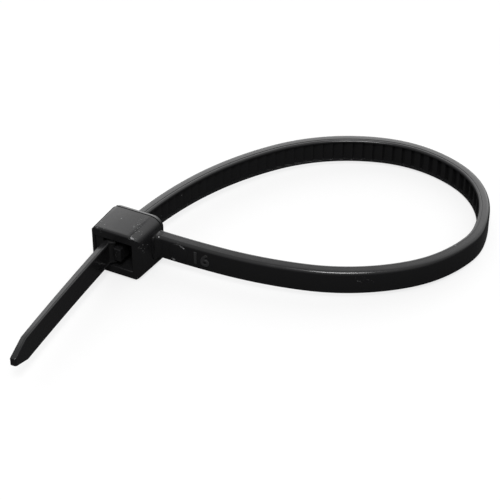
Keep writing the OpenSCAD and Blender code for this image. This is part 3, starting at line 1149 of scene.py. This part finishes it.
@dataclass
class Rest:
    """How the tie lies: tipped about the line through its two feet, and set down on the floor."""

    tilt: float = 2.19585
    far_heading: float = 35.8775

    def turn(self) -> Matrix:
        """The turn that tips the loop's far side down to the floor."""
        side = math.radians(self.far_heading + 90)
        return Matrix.Rotation(math.radians(self.tilt), 4, (math.cos(side), math.sin(side), 0))

    def lay_down(self, pieces: list[bpy.types.Object]) -> Matrix:
        """Tips the pieces, brings them from millimetres to metres and centres their box on the floor.

        Args:
            pieces: All the pieces of the tie, in millimetres.

        Returns:
            The matrix from the moulding's millimetres to the floor's metres.
        """
        turned = self.turn()
        corners = [turned @ vert.co for piece in pieces for vert in piece.data.vertices]
        low = Vector(min(co[i] for co in corners) for i in range(3))
        high = Vector(max(co[i] for co in corners) for i in range(3))
        shift = Matrix.Translation((-(low.x + high.x) / 2, -(low.y + high.y) / 2, -low.z))
        matrix = Matrix.Scale(MM, 4) @ shift @ turned
        for piece in pieces:
            Shop.take(piece)
            piece.matrix_world = matrix
            Shop.settle()
        return matrix


def toward(azimuth: float, elevation: float) -> Vector:
    """The direction at an azimuth from +Y towards +X and an elevation, both in degrees."""
    round_z, up = math.radians(azimuth), math.radians(elevation)
    return Vector((math.sin(round_z) * math.cos(up), math.cos(round_z) * math.cos(up), math.sin(up)))


@dataclass(frozen=True)
class Glow:
    """A soft part of the studio's light: where it stands and how it fades."""

    azimuth: float
    elevation: float
    dark_at: float
    bright_at: float
    least: float
    most: float


@dataclass(frozen=True)
class Lamp:
    """A soft square lamp that faces the middle of the tie: its place and side in metres, and its power in watts."""

    name: str
    place: Triple
    side: float
    power: float

    def hang(self) -> None:
        """Hangs the lamp."""
        data = bpy.data.lights.new(self.name, "AREA")
        data.size = self.side
        data.energy = self.power
        lamp = bpy.data.objects.new(self.name, data)
        bpy.context.collection.objects.link(lamp)
        lamp.location = self.place
        lamp.rotation_euler = Vector(self.place).to_track_quat("Z", "Y").to_euler()


@dataclass
class Studio:
    """The camera, whose sizes are in millimetres, the pale floor, whose sizes are in metres, and the soft lights."""

    target: Triple = (7.681, 2.662, 0)
    distance: float = 162
    elevation: float = 39.4
    azimuth: float = 154.44
    lens: float = 132.16
    sensor: float = 36
    near_clip: float = 0.01
    floor_side: float = 4
    floor_gap: float = 0.00002
    floor_glow: float = 0.73
    floor_shade: float = 0.25
    floor_mirrored: float = 0.05
    floor_roughness: float = 0.9
    glows: tuple[Glow, ...] = (
        Glow(0, 90, -0.3, 1, 0.1, 0.6),
        Glow(-15, 5, 0.72, 1, 0, 2.3),
        Glow(-45, 32, 0.93, 1, 0, 1.05),
        Glow(26, 36, 0.7, 1, 0, 0.9),
    )
    lamps: tuple[Lamp, ...] = (
        Lamp("key", (0.125, -0.222, 0.43), 0.15, 1.2),
        Lamp("high window", (-0.25, 0.2, 0.4), 0.25, 0.12),
    )

    def camera(self, matrix: Matrix) -> None:
        """Sets up the camera at the photograph's viewing angle.

        Args:
            matrix: Takes the moulding's millimetres to the floor's metres.
        """
        data = bpy.data.cameras.new("camera")
        data.lens = self.lens
        data.sensor_width = self.sensor
        data.sensor_fit = "HORIZONTAL"
        data.clip_start = self.near_clip
        camera = bpy.data.objects.new("camera", data)
        bpy.context.collection.objects.link(camera)
        turned = matrix.to_3x3().normalized()
        back = toward(self.azimuth, self.elevation)
        place = matrix @ (Vector(self.target) + back * self.distance)
        back = turned @ back
        right = (turned @ Axis.Z.value).cross(back).normalized()
        up = back.cross(right)
        camera.matrix_world = Matrix.Translation(place) @ Matrix((right, up, back)).transposed().to_4x4()
        bpy.context.scene.camera = camera

    def floor(self) -> None:
        """Lays a floor that shows white with a faint shadow, and is dark in the nylon's reflections."""
        bpy.ops.object.select_all(action="DESELECT")
        bpy.ops.mesh.primitive_plane_add(size=self.floor_side, location=(0, 0, -self.floor_gap))
        floor = bpy.context.object
        floor.name = "floor"
        material = bpy.data.materials.new("pale floor")
        material.use_nodes = True
        wiring = Wiring(material.node_tree)
        mirrored = wiring.fill(wiring.tree.nodes["Principled BSDF"], {
            "Base Color": (self.floor_mirrored, self.floor_mirrored, self.floor_mirrored, 1),
            "Roughness": self.floor_roughness,
            "Specular IOR Level": 0,
        })
        glow = wiring.add("ShaderNodeEmission", {"Color": (1, 1, 1, 1), "Strength": self.floor_glow})
        shade = wiring.add("ShaderNodeBsdfDiffuse", {
            "Color": (self.floor_shade, self.floor_shade, self.floor_shade, 1),
        })
        white = wiring.add("ShaderNodeAddShader", {0: glow.outputs["Emission"], 1: shade.outputs["BSDF"]})
        ray = wiring.add("ShaderNodeLightPath", {})
        mix = wiring.add("ShaderNodeMixShader", {
            0: ray.outputs["Is Camera Ray"], 1: mirrored.outputs["BSDF"], 2: white.outputs["Shader"],
        })
        wiring.fill(wiring.tree.nodes["Material Output"], {"Surface": mix.outputs["Shader"]})
        floor.data.materials.append(material)

    def world(self) -> None:
        """Surrounds the tie with a studio that shows white, and whose own light is brightest low behind the tie."""
        world = bpy.data.worlds.new("studio")
        bpy.context.scene.world = world
        world.use_nodes = True
        wiring = Wiring(world.node_tree)
        ray = wiring.add("ShaderNodeLightPath", {})
        total = wiring.combine(Sum.MOST, ray.outputs["Is Camera Ray"], ray.outputs["Is Transmission Ray"])
        place = wiring.add("ShaderNodeTexCoord", {}).outputs["Generated"]
        for glow in self.glows:
            near = wiring.add("ShaderNodeVectorMath", {0: place, 1: toward(glow.azimuth, glow.elevation)})
            near.operation = "DOT_PRODUCT"
            fall = wiring.add("ShaderNodeMapRange", {
                "Value": near.outputs["Value"],
                "From Min": glow.dark_at,
                "From Max": glow.bright_at,
                "To Min": glow.least,
                "To Max": glow.most,
            })
            fall.interpolation_type = "SMOOTHSTEP"
            total = wiring.combine(Sum.ADD, total, fall.outputs["Result"])
        wiring.fill(wiring.tree.nodes["Background"], {"Color": (1, 1, 1, 1), "Strength": total})

    def build(self, matrix: Matrix) -> None:
        """Sets up everything round the tie.

        Args:
            matrix: Takes the moulding's millimetres to the floor's metres.
        """
        self.camera(matrix)
        self.floor()
        self.world()
        for lamp in self.lamps:
            lamp.hang()
        bpy.context.scene.view_settings.view_transform = "Standard"


def dress(piece: bpy.types.Object) -> None:
    """Rides a piece on the tie's body.

    Args:
        piece: The piece.
    """
    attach(piece, BODY)
    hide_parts(NODE)
    LOG.info("%s: %d faces", piece.name, len(piece.data.polygons))


def paint(piece: bpy.types.Object, finishes: tuple[Nylon, ...], matrix: Matrix) -> None:
    """Fills a piece's material slots in order.

    Args:
        piece: The piece.
        finishes: Its finishes, one for each slot.
        matrix: Takes the moulding's millimetres to the floor's metres.
    """
    for i, finish in enumerate(finishes):
        if len(piece.material_slots) <= i:
            piece.data.materials.append(None)
        piece.material_slots[i].material = finish.material(matrix)


def main() -> None:
    """Builds the tie in order and sets the studio round it."""
    logging.basicConfig(level=logging.INFO, format="%(name)s: %(message)s")
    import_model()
    strap = Strap(Loop())
    pieces = [strap.build(), Head(strap).build()]
    matrix = Rest().lay_down(pieces)
    for piece, finishes in zip(pieces, (STRAP_FINISHES, HEAD_FINISHES)):
        paint(piece, finishes, matrix)
        dress(piece)
    Studio().build(matrix)


if __name__ == "__main__":
    main()
